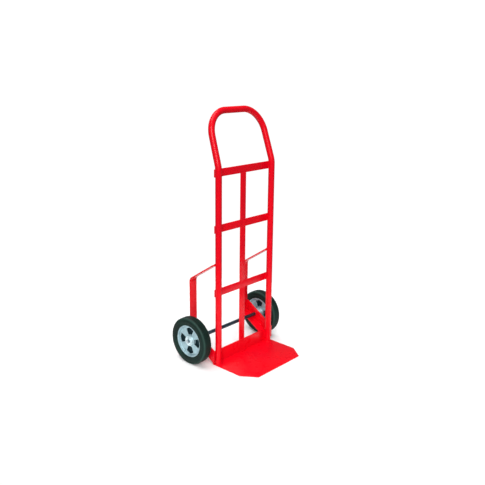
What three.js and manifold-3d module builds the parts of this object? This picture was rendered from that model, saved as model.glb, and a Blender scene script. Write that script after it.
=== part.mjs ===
// Two-wheeled hand truck with a one-piece bent tube frame and a loop handle.
// Millimetres, +Z up. The toe plate points to -Y and the wheels are behind it at +Y.
// The origin is on the floor, midway between the sides and midway between front and back.
import * as THREE from "three";
import { mergeVertices } from "three/addons/utils/BufferGeometryUtils.js";
import Module from "manifold-3d";

const wasm = await Module();
wasm.setup();

// Clearance left between pieces that touch or are welded together.
const gap = 0.3;

// Frame tube: 3/4 in pipe, bent once into two rails and a loop handle.
const tubeRadius = 13.35;
const tubeWall = 2.9;
const tubeFacets = 16;
const railX = 161;
const bendRadius = 101.6;
const bendHeight = 834;
const handleLean = THREE.MathUtils.degToRad(18);
const handleLength = 225;
const handleCornerX = 153;

// Flat bar stock for the crossbars, centre straps, toe plate and wheel guards.
const stock = 4.8;
const barWidth = 31.75;
const barHalfLength = 168;
const topBarHeight = 813;
const middleBarHeight = 586;
const lowerBarHeight = 315;
const topBarRelief = 0.9;

// Toe plate: a floor plate with an upturned flange behind the rails.
const toeHalfWidth = 178.5;
const toeFront = -200.5;
const toeChamferX = 45;
const toeChamferY = 63;
const flangeHeight = 58.5;
const flangeBend = 6;
const flangeEdgeRound = 1.2;

// Wheels and axle.
const wheelRadius = 101.6;
const tyreWidth = 44.45;
const wheelCentreX = 223;
const axleY = 98.9;
const axleRadius = 7.94;
const axleHalfLength = 247.5;
const axleChamfer = 1;

// Half section of the tyre. A bead point is [inset from the side face, height above the rim],
// and a tread point is [inset from the side face, depth below the tread].
const tyreBeadPoints = [[5.5, 0], [2, 3.5], [0, 11]];
const tyreTreadPoints = [[0.3, 9], [2.2, 3.4], [6.5, 0.6], [12, 0]];

// Wheel guards: strap from the rail, back and down, then forward to the toe flange.
const guardWidth = 38.1;
const guardInnerX = 144.8;
const guardUprightY = 146;
const guardBend = 20;
const guardArmSlope = Math.tan(THREE.MathUtils.degToRad(33));
const guardFootSlope = Math.tan(THREE.MathUtils.degToRad(32));
const guardArmHeight = 451.5;
const guardFootHeight = 13.8;

// Axle plates: flat bar on edge, welded along the outer edge of each guard's foot.
const axlePlateHeight = 50.8;
const axlePlateCorner = 6;
const axlePlateFrontY = 0;

// Hub, bearings, washers and cotter pins.
const rimRadius = 69;
const rimWall = 6;
const rimDraft = 1;
const rimHalfWidth = 17.5;
const webInner = -10;
const webOuter = 9;
const bossRadius = 20;
const bossDraft = 1.5;
const bossInner = -32.4;
const bossOuter = 17;
const pocketFloorInner = -2;
const pocketFloorOuter = 1;
const pocketInnerRadius = 27;
const pocketOuterRadius = 55;
const pocketHalfAngle = THREE.MathUtils.degToRad(23);
const pocketCorner = 5;
const pocketCount = 4;
const bearingRadius = 17.2;
const bearingWidth = 10.7;
const spacerRadius = 11;
const hubBore = 12;
const washerRadius = 17;
const washerThickness = 2;
const cotterRadius = 1.6;
const cotterX = 244.6;
const cotterReach = 2;
const cotterEyeRadius = 2.6;
const cotterWireRadius = 1.1;
const cotterLegLength = 7;
const cotterLegRoot = 1;
const cotterSpread = THREE.MathUtils.degToRad(25);

const tyreFacets = 48;
const hubFacets = 40;
const ringFacets = 24;
const pinFacets = 10;
const wireFacets = 8;
const eyeSteps = 14;

const redPaint = { color: 0xd8161c, roughness: 0.32, metalness: 0.0 };
const blackRubber = { color: 0x14201c, roughness: 0.75, metalness: 0.0 };
const castAluminium = { color: 0xa9b6c0, roughness: 0.38, metalness: 0.9 };
const barSteel = { color: 0x5a6b80, roughness: 0.35, metalness: 1.0 };
const zincPlate = { color: 0xb4b8bb, roughness: 0.3, metalness: 1.0 };

const handTruck = new THREE.Group();
handTruck.name = "hand_truck";

function addPiece(name, geometry, finish) {
  const mesh = new THREE.Mesh(geometry, new THREE.MeshStandardMaterial(finish));
  mesh.name = name;
  handTruck.add(mesh);
  return mesh;
}

// Closed mesh to manifold solid and back, for the boolean cuts and joins.
function toSolid(geometry) {
  const bare = geometry.clone();
  bare.deleteAttribute("normal");
  bare.deleteAttribute("uv");
  const merged = mergeVertices(bare, 1e-4);
  return new wasm.Manifold(new wasm.Mesh({
    numProp: 3,
    vertProperties: new Float32Array(merged.attributes.position.array),
    triVerts: new Uint32Array(merged.index.array),
  }));
}

function toGeometry(solid) {
  const mesh = solid.getMesh();
  const geometry = new THREE.BufferGeometry();
  geometry.setAttribute("position", new THREE.BufferAttribute(mesh.vertProperties, 3));
  geometry.setIndex(new THREE.BufferAttribute(mesh.triVerts, 1));
  geometry.computeVertexNormals();
  return geometry;
}

function cut(geometry, cutters) {
  const whole = toSolid(geometry);
  return toGeometry(cutters.reduce((solid, cutter) => solid.subtract(toSolid(cutter)), whole));
}

function join(geometries) {
  return toGeometry(geometries.map(toSolid).reduce((solid, other) => solid.add(other)));
}

// Points along a line of corners, with each corner of nonzero radius turned into an arc.
// A corner is [x, y, z, radius]. The first and last points of an open line stay as they are.
function roundCorners(corners, closed, arcStep) {
  const places = corners.map(([x, y, z]) => new THREE.Vector3(x, y, z));
  const count = places.length;
  const points = [];
  corners.forEach((corner, i) => {
    const radius = corner[3];
    const atEnd = !closed && (i === 0 || i === count - 1);
    if (atEnd || radius === 0) {
      points.push(places[i]);
      return;
    }
    const back = places[(i + count - 1) % count].clone().sub(places[i]).normalize();
    const ahead = places[(i + 1) % count].clone().sub(places[i]).normalize();
    const half = back.angleTo(ahead) / 2;
    const middle = back.clone().add(ahead).normalize();
    const centre = places[i].clone().addScaledVector(middle, radius / Math.sin(half));
    const first = places[i].clone().addScaledVector(back, radius / Math.tan(half)).sub(centre);
    const last = places[i].clone().addScaledVector(ahead, radius / Math.tan(half)).sub(centre);
    const turn = Math.PI - 2 * half;
    const steps = Math.max(2, Math.round(turn / arcStep));
    for (let k = 0; k <= steps; k += 1) {
      const a = turn * k / steps;
      const point = centre.clone();
      point.addScaledVector(first, Math.sin(turn - a) / Math.sin(turn));
      point.addScaledVector(last, Math.sin(a) / Math.sin(turn));
      points.push(point);
    }
  });
  return points;
}

// A path that passes straight from point to point, with one extrusion step for each.
class PointPath extends THREE.Curve {
  constructor(points) {
    super();
    this.points = points;
  }

  getPoint(t, target = new THREE.Vector3()) {
    const place = t * (this.points.length - 1);
    const i = Math.min(Math.floor(place), this.points.length - 2);
    return target.lerpVectors(this.points[i], this.points[i + 1], place - i);
  }

  getPointAt(u, target) {
    return this.getPoint(u, target);
  }

  getTangentAt(u, target) {
    return this.getTangent(u, target);
  }
}

// Side outline in Y and Z, extruded towards +X from startX.
function sidePlate(corners, startX, thickness, holes = []) {
  const arcStep = THREE.MathUtils.degToRad(16);
  const outline = roundCorners(corners.map(([y, z, radius]) => [y, z, 0, radius]), true, arcStep);
  const shape = new THREE.Shape(outline.map((p) => new THREE.Vector2(p.x, p.y)));
  holes.forEach(([y, z, radius]) => {
    shape.holes.push(new THREE.Path().absarc(y, z, radius, 0, 2 * Math.PI));
  });
  const extrusion = { depth: thickness, bevelEnabled: false, curveSegments: ringFacets / 2 };
  const geometry = new THREE.ExtrudeGeometry(shape, extrusion);
  const yAxis = new THREE.Vector3(0, 1, 0);
  const zAxis = new THREE.Vector3(0, 0, 1);
  const xAxis = new THREE.Vector3(1, 0, 0);
  geometry.applyMatrix4(new THREE.Matrix4().makeBasis(yAxis, zAxis, xAxis));
  geometry.translate(startX, 0, 0);
  return geometry;
}

// Turned piece about the X axis. The profile is a list of [x, radius].
function turned(profile, facets) {
  const geometry = new THREE.LatheGeometry(profile.map(([x, r]) => new THREE.Vector2(r, x)), facets);
  geometry.rotateZ(-Math.PI / 2);
  return geometry;
}

// Round ring about the X axis from x0 to x1.
function ring(x0, x1, innerRadius, outerRadius) {
  const inner = [[x1, innerRadius], [x0, innerRadius]];
  const profile = [[x0, innerRadius], [x0, outerRadius], [x1, outerRadius], ...inner];
  return turned(profile, ringFacets);
}

function block(x0, x1, y0, y1, z0, z1) {
  const geometry = new THREE.BoxGeometry(x1 - x0, y1 - y0, z1 - z0);
  geometry.translate((x0 + x1) / 2, (y0 + y1) / 2, (z0 + z1) / 2);
  return geometry;
}

// Frame tube, open at both feet, where it stands on the toe plate.
function frameTube() {
  const handleY = handleLength * Math.sin(handleLean);
  const handleZ = bendHeight + handleLength * Math.cos(handleLean);
  const footZ = stock + gap;
  const right = [
    [railX, 0, footZ, 0],
    [railX, 0, bendHeight, bendRadius],
    [handleCornerX, handleY, handleZ, bendRadius],
  ];
  const left = right.map(([x, y, z, radius]) => [-x, y, z, radius]).reverse();
  const path = new PointPath(roundCorners([...right, ...left], false, THREE.MathUtils.degToRad(7.5)));
  const section = new THREE.Shape().absarc(0, 0, tubeRadius, 0, 2 * Math.PI);
  section.holes.push(new THREE.Path().absarc(0, 0, tubeRadius - tubeWall, 0, 2 * Math.PI));
  const steps = path.points.length - 1;
  const curveSegments = tubeFacets / 2;
  return new THREE.ExtrudeGeometry(section, { steps, extrudePath: path, curveSegments });
}

// Crossbars and centre straps lie in one layer against the back of the rails.
const layerFront = tubeRadius + gap;
const layerBack = layerFront + stock;

function crossbar(height, relief) {
  const halfWidth = barWidth / 2;
  return block(-barHalfLength, barHalfLength, layerFront + relief, layerBack + relief,
    height - halfWidth, height + halfWidth);
}

function centreStrap(bottom, top) {
  return block(-barWidth / 2, barWidth / 2, layerFront, layerBack, bottom + gap, top - gap);
}

function toePlate() {
  const profile = [
    [toeFront, 0, 0],
    [layerBack, 0, flangeBend],
    [layerBack, flangeHeight, flangeEdgeRound],
    [layerFront, flangeHeight, flangeEdgeRound],
    [layerFront, stock, 0],
    [toeFront, stock, 0],
  ];
  const plate = sidePlate(profile, -toeHalfWidth, 2 * toeHalfWidth);
  const corners = [-1, 1].map((side) => {
    const outline = new THREE.Shape([
      new THREE.Vector2(side * toeHalfWidth, toeFront + toeChamferY),
      new THREE.Vector2(side * (toeHalfWidth - toeChamferX), toeFront),
      new THREE.Vector2(side * (toeHalfWidth - toeChamferX), toeFront - toeChamferY),
      new THREE.Vector2(side * (toeHalfWidth + toeChamferX), toeFront - toeChamferY),
      new THREE.Vector2(side * (toeHalfWidth + toeChamferX), toeFront + toeChamferY),
    ]);
    const wedge = new THREE.ExtrudeGeometry(outline, { depth: 3 * stock, bevelEnabled: false });
    wedge.translate(0, 0, -stock);
    return wedge;
  });
  return cut(plate, corners);
}

const armRise = stock * Math.hypot(1, guardArmSlope);
const footRise = stock * Math.hypot(1, guardFootSlope);

function guardArmTop(y) {
  return guardArmHeight - guardArmSlope * y;
}

function guardFootBottom(y) {
  return guardFootHeight + guardFootSlope * y;
}

// Bent strap: arm from the rail, upright behind the wheel axis, foot to the toe flange.
function wheelGuard(side) {
  const railEnd = layerFront;
  const toeEnd = layerBack + gap;
  const uprightBack = guardUprightY + stock;
  const outline = [
    [toeEnd, guardFootBottom(toeEnd), 0],
    [uprightBack, guardFootBottom(uprightBack), guardBend + stock],
    [uprightBack, guardArmTop(uprightBack), guardBend + stock],
    [railEnd, guardArmTop(railEnd), 0],
    [railEnd, guardArmTop(railEnd) - armRise, 0],
    [guardUprightY, guardArmTop(guardUprightY) - armRise, guardBend],
    [guardUprightY, guardFootBottom(guardUprightY) + footRise, guardBend],
    [toeEnd, guardFootBottom(toeEnd) + footRise, 0],
  ];
  const startX = side > 0 ? guardInnerX : -guardInnerX - guardWidth;
  return sidePlate(outline, startX, guardWidth);
}

const axlePlateInnerX = guardInnerX + guardWidth + gap;
const axlePlateOuterX = axlePlateInnerX + stock;

function axlePlate(side) {
  const rise = axlePlateHeight * Math.hypot(1, guardFootSlope);
  const backY = guardUprightY + stock;
  const outline = [
    [axlePlateFrontY, guardFootBottom(axlePlateFrontY), axlePlateCorner],
    [backY, guardFootBottom(backY), axlePlateCorner],
    [backY, guardFootBottom(backY) + rise, axlePlateCorner],
    [axlePlateFrontY, guardFootBottom(axlePlateFrontY) + rise, axlePlateCorner],
  ];
  const startX = side > 0 ? axlePlateInnerX : -axlePlateOuterX;
  return sidePlate(outline, startX, stock, [[axleY, wheelRadius, axleRadius + gap]]);
}

// Cylinder along Z through the axle's centre line at x.
function crossPin(x, radius, halfLength) {
  const geometry = new THREE.CylinderGeometry(radius, radius, 2 * halfLength, pinFacets);
  geometry.rotateX(Math.PI / 2);
  geometry.translate(x, axleY, wheelRadius);
  return geometry;
}

function axle() {
  const end = axleHalfLength;
  const small = axleRadius - axleChamfer;
  const profile = [
    [-end, 0], [-end, small], [-end + axleChamfer, axleRadius],
    [end - axleChamfer, axleRadius], [end, small], [end, 0],
  ];
  const rod = turned(profile, ringFacets);
  rod.translate(0, axleY, wheelRadius);
  const holeRadius = cotterRadius + gap;
  return cut(rod, [-1, 1].map((side) => crossPin(side * cotterX, holeRadius, 2 * axleRadius)));
}

// Cotter pin: shank down through the axle, eye on top, two legs spread below.
function cotterPin(side) {
  const x = side * cotterX;
  const wire = cotterWireRadius;
  const shankHalf = axleRadius + cotterReach;
  const shank = crossPin(x, cotterRadius, shankHalf);
  const eye = new THREE.TorusGeometry(cotterEyeRadius, wire, wireFacets, eyeSteps);
  eye.rotateY(Math.PI / 2);
  eye.translate(x, axleY, wheelRadius + shankHalf + cotterEyeRadius);
  const legs = [-1, 1].map((way) => {
    const leg = new THREE.CylinderGeometry(wire, wire, cotterLegLength, wireFacets);
    leg.translate(0, cotterLegLength / 2 - cotterLegRoot, 0);
    leg.rotateX(-cotterSpread);
    if (way < 0) {
      leg.rotateZ(Math.PI);
    }
    leg.translate(x, axleY, wheelRadius - shankHalf);
    return leg;
  });
  return join([shank, eye, ...legs]);
}

// Tyre section, with rounded shoulders and a seat that grips the hub rim.
function tyre(side) {
  const half = tyreWidth / 2;
  const seat = rimRadius + gap;
  const bead = tyreBeadPoints.map(([inset, height]) => [half - inset, seat + height]);
  const tread = tyreTreadPoints.map(([inset, depth]) => [half - inset, wheelRadius - depth]);
  const outerHalf = [...bead, ...tread];
  const innerHalf = outerHalf.map(([x, r]) => [-x, r]);
  const geometry = turned([...innerHalf, ...outerHalf.reverse(), innerHalf[0]], tyreFacets);
  geometry.translate(side * wheelCentreX, axleY, wheelRadius);
  return geometry;
}

// Fan-shaped pocket in the hub's web, centred on the given angle, between two distances
// outward from the wheel's centre plane.
function hubPocket(angle, from, to) {
  const lateral = (radius, a) => [radius * Math.cos(a), radius * Math.sin(a), 0, pocketCorner];
  const corners = [
    lateral(pocketInnerRadius, angle - pocketHalfAngle),
    lateral(pocketOuterRadius, angle - pocketHalfAngle),
    lateral(pocketOuterRadius / Math.cos(pocketHalfAngle), angle),
    lateral(pocketOuterRadius, angle + pocketHalfAngle),
    lateral(pocketInnerRadius, angle + pocketHalfAngle),
  ];
  const outline = roundCorners(corners, true, THREE.MathUtils.degToRad(25));
  const shape = new THREE.Shape(outline.map((p) => new THREE.Vector2(p.x, p.y)));
  const geometry = new THREE.ExtrudeGeometry(shape, { depth: to - from, bevelEnabled: false });
  geometry.translate(0, 0, from);
  geometry.rotateY(Math.PI / 2);
  return geometry;
}

// Cast hub, outer face towards +X: rim, web with pockets in both faces, and a boss bored for
// two bearings. A thin floor in the web closes the pockets.
function hub(side) {
  const bearingSeat = bearingRadius + gap;
  const seatDepth = bearingWidth + gap;
  const rimInside = rimRadius - rimWall;
  const profile = [
    [-rimHalfWidth, rimRadius],
    [-rimHalfWidth, rimInside],
    [webInner, rimInside - rimDraft],
    [webInner, bossRadius + bossDraft],
    [bossInner, bossRadius],
    [bossInner, bearingSeat],
    [bossInner + seatDepth, bearingSeat],
    [bossInner + seatDepth, hubBore],
    [bossOuter - seatDepth, hubBore],
    [bossOuter - seatDepth, bearingSeat],
    [bossOuter, bearingSeat],
    [bossOuter, bossRadius],
    [webOuter, bossRadius + bossDraft],
    [webOuter, rimInside - rimDraft],
    [rimHalfWidth, rimInside],
    [rimHalfWidth, rimRadius],
  ].reverse();
  const body = turned([...profile, profile[0]], hubFacets);
  const angles = Array.from({ length: pocketCount }, (_, i) => 2 * Math.PI * i / pocketCount);
  const geometry = cut(body, angles.flatMap((angle) => [
    hubPocket(angle, pocketFloorOuter, rimHalfWidth),
    hubPocket(angle, -rimHalfWidth, pocketFloorInner),
  ]));
  if (side < 0) {
    geometry.rotateZ(Math.PI);
  }
  geometry.translate(side * wheelCentreX, axleY, wheelRadius);
  return geometry;
}

// Ring on the axle, given by its distances outward from the wheel's centre plane.
function axleRing(side, from, to, outerRadius) {
  const ends = [side * (wheelCentreX + from), side * (wheelCentreX + to)].sort((a, b) => a - b);
  const geometry = ring(ends[0], ends[1], axleRadius + gap, outerRadius);
  geometry.translate(0, axleY, wheelRadius);
  return geometry;
}

function wheelSet(side, prefix) {
  addPiece(`${prefix}_tyre`, tyre(side), blackRubber);
  addPiece(`${prefix}_hub`, hub(side), castAluminium);
  const innerSeat = bossInner + bearingWidth;
  const outerSeat = bossOuter - bearingWidth;
  const plateFace = axlePlateOuterX - wheelCentreX;
  const innerWasher = plateFace + gap;
  const outerWasher = bossOuter + gap;
  const rings = [
    ["inner_bearing", bossInner, innerSeat, bearingRadius, zincPlate],
    ["outer_bearing", outerSeat, bossOuter, bearingRadius, zincPlate],
    ["bearing_spacer", innerSeat + gap, outerSeat - gap, spacerRadius, barSteel],
    ["inner_washer", innerWasher, innerWasher + washerThickness, washerRadius, zincPlate],
    ["outer_washer", outerWasher, outerWasher + washerThickness, washerRadius, zincPlate],
  ];
  rings.forEach(([name, from, to, radius, finish]) => {
    addPiece(`${prefix}_${name}`, axleRing(side, from, to, radius), finish);
  });
  addPiece(`${prefix}_cotter_pin`, cotterPin(side), zincPlate);
}

addPiece("frame_tube", frameTube(), redPaint);
addPiece("crossbar_top", crossbar(topBarHeight, topBarRelief), redPaint);
addPiece("crossbar_middle", crossbar(middleBarHeight, 0), redPaint);
addPiece("crossbar_lower", crossbar(lowerBarHeight, 0), redPaint);
const halfBar = barWidth / 2;
const straps = [
  ["center_strap_upper", middleBarHeight + halfBar, topBarHeight - halfBar],
  ["center_strap_middle", lowerBarHeight + halfBar, middleBarHeight - halfBar],
  ["center_strap_lower", flangeHeight, lowerBarHeight - halfBar],
];
straps.forEach(([name, bottom, top]) => addPiece(name, centreStrap(bottom, top), redPaint));
addPiece("toe_plate", toePlate(), redPaint);
addPiece("axle", axle(), barSteel);
[[-1, "left"], [1, "right"]].forEach(([side, prefix]) => {
  addPiece(`${prefix}_wheel_guard`, wheelGuard(side), redPaint);
  addPiece(`${prefix}_axle_plate`, axlePlate(side), redPaint);
  wheelSet(side, prefix);
});

export default handTruck;
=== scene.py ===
# %% [markdown]
# # A welded hand truck
# This lesson models a two-wheeled hand truck: one bent steel pipe, flat bars welded behind it, a toe
# plate that slides under the load, and two rubber-tyred wheels on a fixed axle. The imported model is
# loaded first as a fixed frame. It gives every place and size, so each new piece is built where the
# frame says and then stands for the plain piece that was there.

# %% Load the frame
import math

import bmesh
import bpy
from mathutils import Matrix, Vector


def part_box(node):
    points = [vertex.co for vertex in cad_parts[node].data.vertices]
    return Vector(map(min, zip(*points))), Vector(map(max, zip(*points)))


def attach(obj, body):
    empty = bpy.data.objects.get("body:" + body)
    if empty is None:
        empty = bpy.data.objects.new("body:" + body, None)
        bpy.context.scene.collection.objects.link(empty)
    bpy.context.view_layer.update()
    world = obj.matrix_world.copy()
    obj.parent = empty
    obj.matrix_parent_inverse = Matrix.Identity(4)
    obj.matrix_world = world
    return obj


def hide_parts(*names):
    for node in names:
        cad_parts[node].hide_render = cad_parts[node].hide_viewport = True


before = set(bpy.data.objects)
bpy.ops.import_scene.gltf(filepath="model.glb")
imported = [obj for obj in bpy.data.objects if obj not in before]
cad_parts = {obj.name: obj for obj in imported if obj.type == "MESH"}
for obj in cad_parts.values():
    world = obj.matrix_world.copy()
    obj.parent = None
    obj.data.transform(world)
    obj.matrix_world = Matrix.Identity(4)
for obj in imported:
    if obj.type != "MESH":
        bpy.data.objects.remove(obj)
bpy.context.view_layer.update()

# %% [markdown]
# The camera comes first, so that every later step can be looked at. It stands to the left of the
# toe plate, a little over waist height, and looks slightly down. Turning it with three angles would
# depend on their order, so its three axes are worked out as directions and put in its matrix.

# %% Camera
CAMERA_PLACE = Vector((-1.9219, -1.7175, 1.2309))
CAMERA_YAW = math.radians(-47.945)
CAMERA_PITCH = math.radians(15.764)
CAMERA_ROLL = math.radians(0.622)
CAMERA_LENS = 47.35
SENSOR_WIDTH = 36

ahead = Vector((
    -math.sin(CAMERA_YAW) * math.cos(CAMERA_PITCH),
    math.cos(CAMERA_YAW) * math.cos(CAMERA_PITCH),
    -math.sin(CAMERA_PITCH),
))
level_right = Vector((math.cos(CAMERA_YAW), math.sin(CAMERA_YAW), 0))
level_up = level_right.cross(ahead)
right = level_right * math.cos(CAMERA_ROLL) + level_up * math.sin(CAMERA_ROLL)
upward = right.cross(ahead)

bpy.ops.object.camera_add()
camera = bpy.context.object
camera.data.lens = CAMERA_LENS
camera.data.sensor_width = SENSOR_WIDTH
camera.matrix_world = Matrix.Translation(CAMERA_PLACE) @ Matrix((right, upward, -ahead)).transposed().to_4x4()
bpy.context.scene.camera = camera
print("camera at", [round(c, 3) for c in camera.location])

# %% [markdown]
# Most modelling steps repeat the same few moves: select one thing only, add a primitive, work in
# edit mode, run a modifier. Each move is a short helper. Selecting by place and direction replaces
# the mouse, so an edge is picked by what it is and not by its number.

# %% Selecting and editing
def deselect():
    if bpy.context.object and bpy.context.object.mode != "OBJECT":
        bpy.ops.object.mode_set(mode="OBJECT")
    bpy.ops.object.select_all(action="DESELECT")


def only(obj):
    deselect()
    obj.select_set(True)
    bpy.context.view_layer.objects.active = obj


def edit(obj, kind="VERT", action="SELECT"):
    only(obj)
    bpy.ops.object.mode_set(mode="EDIT")
    bpy.ops.mesh.select_mode(type=kind)
    bpy.ops.mesh.select_all(action=action)


def pick_edges(obj, test):
    """In edit mode, select each edge whose middle point and direction pass the test."""
    mesh = bmesh.from_edit_mesh(obj.data)
    for edge in mesh.edges:
        a, b = (vertex.co for vertex in edge.verts)
        edge.select_set(bool(test((a + b) / 2, (b - a).normalized())))
    bmesh.update_edit_mesh(obj.data)


def modifier(obj, kind, **settings):
    only(obj)
    bpy.ops.object.modifier_add(type=kind)
    added = obj.modifiers[-1]
    for name, value in settings.items():
        setattr(added, name, value)
    bpy.ops.object.modifier_apply(modifier=added.name)


def face_outward(obj):
    """Merge doubled points, then turn every face outward."""
    edit(obj)
    bpy.ops.mesh.remove_doubles(threshold=1e-6)
    bpy.ops.mesh.normals_make_consistent(inside=False)
    deselect()


print("helpers ready")

# %% [markdown]
# Three ways of starting a piece cover most of the truck. A box suits straight bar. An outline that is
# filled and pushed sideways suits bent and cut plate. An outline spun round the axle line suits
# everything that a lathe or a round mould makes. The outline is drawn one vertex at a time by
# extruding, just as it is drawn by hand.

# %% Starting shapes
ARC_STEP = math.radians(15)


def box(name, low, high):
    deselect()
    bpy.ops.mesh.primitive_cube_add(size=1, location=(low + high) / 2, scale=high - low)
    obj = bpy.context.object
    obj.name = name
    bpy.ops.object.transform_apply(location=True, rotation=True, scale=True)
    return obj


def draw_line(name, points):
    deselect()
    bpy.ops.mesh.primitive_plane_add(size=0.001)
    obj = bpy.context.object
    obj.name = name
    edit(obj)
    bpy.ops.mesh.merge(type="CENTER")
    bpy.ops.mesh.select_all(action="SELECT")
    bpy.ops.transform.translate(value=points[0])
    for start, end in zip(points, points[1:]):
        bpy.ops.mesh.extrude_vertices_move(TRANSFORM_OT_translate={"value": end - start})
    return obj


def slab(name, outline, push):
    """Fill a closed outline and push it along a direction."""
    obj = draw_line(name, outline)
    bpy.ops.mesh.select_all(action="SELECT")
    bpy.ops.mesh.edge_face_add()
    bpy.ops.mesh.extrude_region_move(TRANSFORM_OT_translate={"value": push})
    face_outward(obj)
    return obj


def rounded(corners):
    """Corners (a, b, radius) of a closed outline to points, with each radius as an arc."""
    points = []
    for i, (a, b, radius) in enumerate(corners):
        corner = Vector((a, b))
        if radius == 0:
            points.append(corner)
            continue
        back = (Vector(corners[i - 1][:2]) - corner).normalized()
        onward = (Vector(corners[(i + 1) % len(corners)][:2]) - corner).normalized()
        half = back.angle(onward) / 2
        centre = corner + (back + onward).normalized() * radius / math.sin(half)
        first = corner + back * radius / math.tan(half) - centre
        turn = math.pi - 2 * half
        way = 1 if back.cross(onward) < 0 else -1
        count = max(2, round(turn / ARC_STEP))
        for k in range(count + 1):
            points.append(centre + Matrix.Rotation(way * turn * k / count, 2) @ first)
    return points


print("starting shapes ready")

# %% [markdown]
# A spun piece is drawn as half a section: how far out from the wheel's middle plane, and how far
# from the axle line. The wheels' common axle line comes from the frame, so every ring, tyre and hub
# is concentric with the axle by construction.

# %% Spinning round the axle
axle_low, axle_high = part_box("axle")
AXLE_Y = (axle_low.y + axle_high.y) / 2
AXLE_Z = (axle_low.z + axle_high.z) / 2
AXLE_RADIUS = 0.00794
tyre_low, tyre_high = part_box("right_tyre")
WHEEL_X = (tyre_low.x + tyre_high.x) / 2


def spun(name, corners, steps):
    """Spin a section (out from the wheel plane, radius, corner radius), in millimetres."""
    section = [
        Vector((WHEEL_X + out / 1000, AXLE_Y, AXLE_Z + radius / 1000))
        for out, radius in rounded(corners)
    ]
    obj = draw_line(name, section + section[:1])
    bpy.ops.mesh.select_all(action="SELECT")
    bpy.ops.mesh.remove_doubles(threshold=1e-6)
    bpy.ops.mesh.spin(
        steps=steps, angle=2 * math.pi, center=(WHEEL_X, AXLE_Y, AXLE_Z), axis=(1, 0, 0)
    )
    face_outward(obj)
    return obj


print("axle line at y", round(AXLE_Y, 4), "z", round(AXLE_Z, 4), "wheel plane x", round(WHEEL_X, 4))

# %% [markdown]
# A finish is a small network of nodes. Writing each node as one call keeps the network readable:
# a socket given as a value is set, and a socket given as another node's output is joined. All
# patterns read Object coordinates, so they are fixed to the metal and turn with the wheels.

# %% Node helpers
def new_finish(name):
    material = bpy.data.materials.new(name)
    material.use_nodes = True
    tree = material.node_tree
    return material, tree, tree.nodes["Principled BSDF"]


def put(tree, socket, value):
    if isinstance(value, bpy.types.NodeSocket):
        tree.links.new(value, socket)
    else:
        socket.default_value = value


def add_node(tree, kind, settings=None, **sockets):
    made = tree.nodes.new("ShaderNode" + kind)
    for name, value in (settings or {}).items():
        setattr(made, name, value)
    for name, value in sockets.items():
        put(tree, made.inputs[name.replace("_", " ")], value)
    return made


def object_place(tree):
    return add_node(tree, "TexCoord").outputs["Object"]


def noise(tree, place, scale, detail=3.0):
    return add_node(tree, "TexNoise", Vector=place, Scale=scale, Detail=detail).outputs["Fac"]


def arithmetic(tree, operation, a, b=0.0):
    made = add_node(tree, "Math", {"operation": operation})
    put(tree, made.inputs[0], a)
    put(tree, made.inputs[1], b)
    return made.outputs[0]


def ramp(tree, value, start, end, low=0.0, high=1.0):
    made = add_node(tree, "MapRange", Value=value, From_Min=start, From_Max=end, To_Min=low, To_Max=high)
    return made.outputs["Result"]


def blend_colour(tree, amount, a, b):
    made = add_node(tree, "Mix", {"data_type": "RGBA"})
    put(tree, made.inputs[0], amount)
    put(tree, made.inputs[6], a)
    put(tree, made.inputs[7], b)
    return made.outputs[2]


def bump(tree, height, strength, distance):
    made = add_node(tree, "Bump", Height=height, Strength=strength, Distance=distance)
    return made.outputs["Normal"]


print("node helpers ready")

# %% [markdown]
# Paint and plating wear first where an edge stands proud. A Bevel node rounds the normals close to an edge
# without touching the mesh, so wherever its normal differs from the real one there is an edge. That
# difference is the mask for worn paint, and a fine noise breaks it up. On the enamel the same mask also
# paints shade along the edges.

# %% Edge mask
def edge_mask(tree, width):
    soft = add_node(tree, "Bevel", {"samples": 6}, Radius=width).outputs["Normal"]
    true_normal = add_node(tree, "NewGeometry").outputs["Normal"]
    compare = add_node(tree, "VectorMath", {"operation": "DOT_PRODUCT"})
    put(tree, compare.inputs[0], soft)
    put(tree, compare.inputs[1], true_normal)
    return ramp(tree, compare.outputs["Value"], 0.995, 0.90)


print("edge mask ready")

# %% [markdown]
# The frame is sprayed with glossy red enamel. Real enamel isn't one flat red: it is thinner and darker in
# places, has a faint orange-peel surface from the spray gun, and is rubbed dull along the edges with a few
# chips down to grey primer. The darker red along the edges is partly that rubbed paint and partly painted
# shade. A thin clear coat on the shader adds to the shine.

# %% Red enamel
ENAMEL = (0.86, 0.0012, 0.010, 1)
ENAMEL_THIN = (0.60, 0.0012, 0.020, 1)
ENAMEL_RUBBED_AND_EDGE_SHADE = (0.24, 0.002, 0.018, 1)
PRIMER = (0.10, 0.07, 0.065, 1)


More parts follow.
